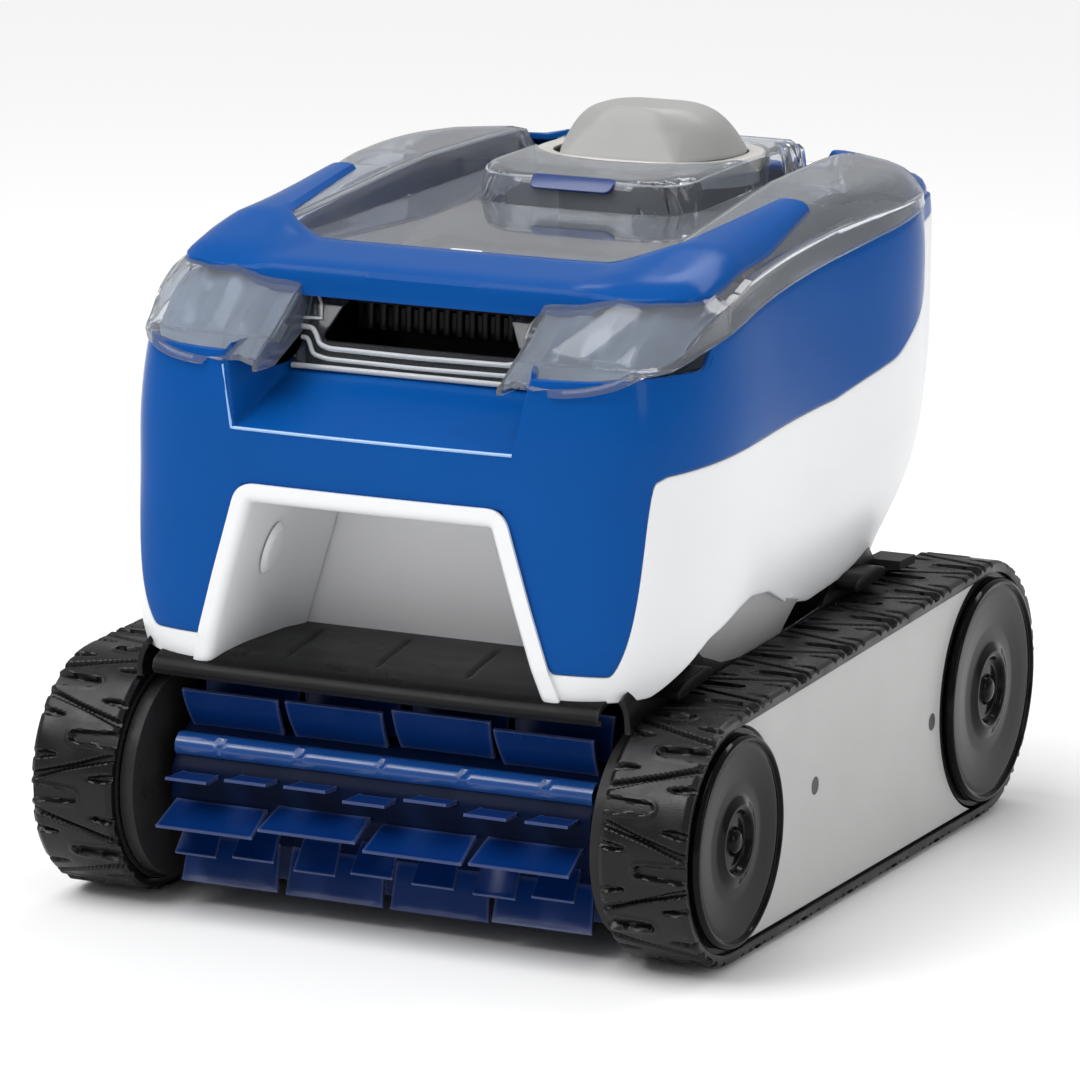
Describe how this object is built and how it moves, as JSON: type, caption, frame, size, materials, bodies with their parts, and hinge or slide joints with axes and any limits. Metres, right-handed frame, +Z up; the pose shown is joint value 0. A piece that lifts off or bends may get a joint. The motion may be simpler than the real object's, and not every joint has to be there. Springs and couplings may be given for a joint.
{
  "type": "pool cleaner",
  "caption": "Robotic pool cleaner on two rubber tracks with a front brush, smoked filter lid with a lifting handle, and a hood over its pump outlet.",
  "frame": {"origin": "on the floor, below the middle of the overall box", "axes": "+Z up; -Y is the front with the brush, +Y the stern; X across, from track to track"},
  "size_m": [0.31, 0.3968, 0.3281],
  "materials": {
    "blue_shell": "gloss, moulded",
    "white_shell": "gloss, moulded",
    "pocket_grey": "satin, moulded",
    "clear_lid": "clear smoked polycarbonate",
    "hood_grey": "satin, moulded",
    "cream_rim": "gloss",
    "plate_grey": "satin, moulded",
    "black_plastic": "fine grain, moulded",
    "gloss_black": "gloss",
    "track_rubber": "moulded rubber, slight sheen",
    "brush_blue": "moulded soft PVC",
    "grey_gear": "acetal",
    "basket_plastic": "satin",
    "basket_mesh": "woven nylon mesh",
    "seal_rubber": "soft rubber",
    "motor_plastic": "satin, potted block",
    "steel": "stainless",
    "bronze": "sintered bush"
  },
  "bodies": {
    "chassis": {"upper_shell": "blue_shell", "lower_shell": "white_shell", "front_pocket": "white_shell", "pocket_back": "pocket_grey", "arch_housings": "plate_grey", "front_apron": "black_plastic", "hinge_pins": "steel", "bottom_tub": "black_plastic", "mouth_lip": "seal_rubber", "suction_duct": "black_plastic", "flap_pin": "steel", "basket_frame": "basket_plastic", "basket_mesh": "basket_mesh", "basket_handle": "basket_plastic", "basket_seal": "seal_rubber", "motor_block": "motor_plastic", "pump_housing": "motor_plastic", "outlet_ring": "cream_rim", "outlet_grille": "black_plastic", "outlet_hood": "hood_grey", "cable_gland": "black_plastic", "gland_nut": "black_plastic", "frame_bolts": "steel", "plate_screws": "steel", "rear_axles": "steel", "track_belt_right": "track_rubber", "track_frame_right": "black_plastic", "side_plate_right": "plate_grey", "track_belt_left": "track_rubber", "track_frame_left": "black_plastic", "side_plate_left": "plate_grey"},
    "lid_assembly": {"lid": "clear_lid", "lid_handle": "blue_shell", "lid_badge": "blue_shell", "grip_tray": "gloss_black", "latch_pin": "steel", "latch_spring": "steel"},
    "latch": {"latch_lever": "gloss_black"},
    "flap": {"inlet_flap": "black_plastic"},
    "impeller_assembly": {"impeller": "hood_grey", "impeller_shaft": "steel"},
    "brush": {"brush_core": "black_plastic", "brush_sleeve": "brush_blue", "brush_cap_right": "black_plastic", "brush_cap_left": "black_plastic", "brush_bush": "bronze"},
    "front_wheel_assembly_right": {"front_wheel_right": "gloss_black", "front_disc_right": "gloss_black"},
    "rear_wheel_assembly_right": {"rear_wheel_right": "gloss_black", "ring_gear_right": "grey_gear", "rear_bush_right": "bronze", "rear_disc_right": "gloss_black"},
    "pinion_right": {"drive_pinion_right": "grey_gear"},
    "front_wheel_assembly_left": {"front_wheel_left": "gloss_black", "front_disc_left": "gloss_black"},
    "rear_wheel_assembly_left": {"rear_wheel_left": "gloss_black", "ring_gear_left": "grey_gear", "rear_bush_left": "bronze", "rear_disc_left": "gloss_black"},
    "pinion_left": {"drive_pinion_left": "grey_gear"}
  },
  "joints": [
    {"name": "lid_hinge", "type": "hinge", "parent": "chassis", "child": "lid_assembly", "pos_m": [0, 0.1585, 0.2875], "axis": [-1, 0, 0], "range_deg": [0, 80]},
    {"name": "latch_press", "type": "hinge", "parent": "lid_assembly", "child": "latch", "pos_m": [0, -0.108, 0.258], "axis": [-1, 0, 0], "range_deg": [0, 10], "stiffness_Nm_per_rad": 0.05},
    {"name": "flap_hinge", "type": "hinge", "parent": "chassis", "child": "flap", "pos_m": [0, -0.0395, 0.1155], "axis": [-1, 0, 0], "range_deg": [0, 65]},
    {"name": "impeller_spin", "type": "hinge", "parent": "chassis", "child": "impeller_assembly", "pos_m": [0, 0.096, 0.24], "axis": [0, 0, 1], "continuous": true},
    {"name": "rear_wheel_spin_right", "type": "hinge", "parent": "chassis", "child": "rear_wheel_assembly_right", "pos_m": [0, 0.13925, 0.05905], "axis": [1, 0, 0], "continuous": true},
    {"name": "front_wheel_spin_right", "type": "hinge", "parent": "chassis", "child": "front_wheel_assembly_right", "pos_m": [0, -0.1454, 0.05285], "axis": [1, 0, 0], "continuous": true},
    {"name": "pinion_spin_right", "type": "hinge", "parent": "chassis", "child": "pinion_right", "pos_m": [0, 0.11419, 0.07182], "axis": [1, 0, 0], "continuous": true},
    {"name": "rear_wheel_spin_left", "type": "hinge", "parent": "chassis", "child": "rear_wheel_assembly_left", "pos_m": [0, 0.13925, 0.05905], "axis": [1, 0, 0], "continuous": true},
    {"name": "front_wheel_spin_left", "type": "hinge", "parent": "chassis", "child": "front_wheel_assembly_left", "pos_m": [0, -0.1454, 0.05285], "axis": [1, 0, 0], "continuous": true},
    {"name": "pinion_spin_left", "type": "hinge", "parent": "chassis", "child": "pinion_left", "pos_m": [0, 0.11419, 0.07182], "axis": [1, 0, 0], "continuous": true},
    {"name": "brush_spin", "type": "hinge", "parent": "chassis", "child": "brush", "pos_m": [0, -0.1454, 0.05285], "axis": [1, 0, 0], "continuous": true}
  ],
  "couplings": [
    {"joint": "front_wheel_spin_right", "follows": "rear_wheel_spin_right", "ratio": 1.1277},
    {"joint": "pinion_spin_right", "follows": "rear_wheel_spin_right", "ratio": 4},
    {"joint": "front_wheel_spin_left", "follows": "rear_wheel_spin_left", "ratio": 1.1277},
    {"joint": "pinion_spin_left", "follows": "rear_wheel_spin_left", "ratio": 4},
    {"joint": "brush_spin", "follows": "rear_wheel_spin_right", "ratio": 1.1277}
  ]
}
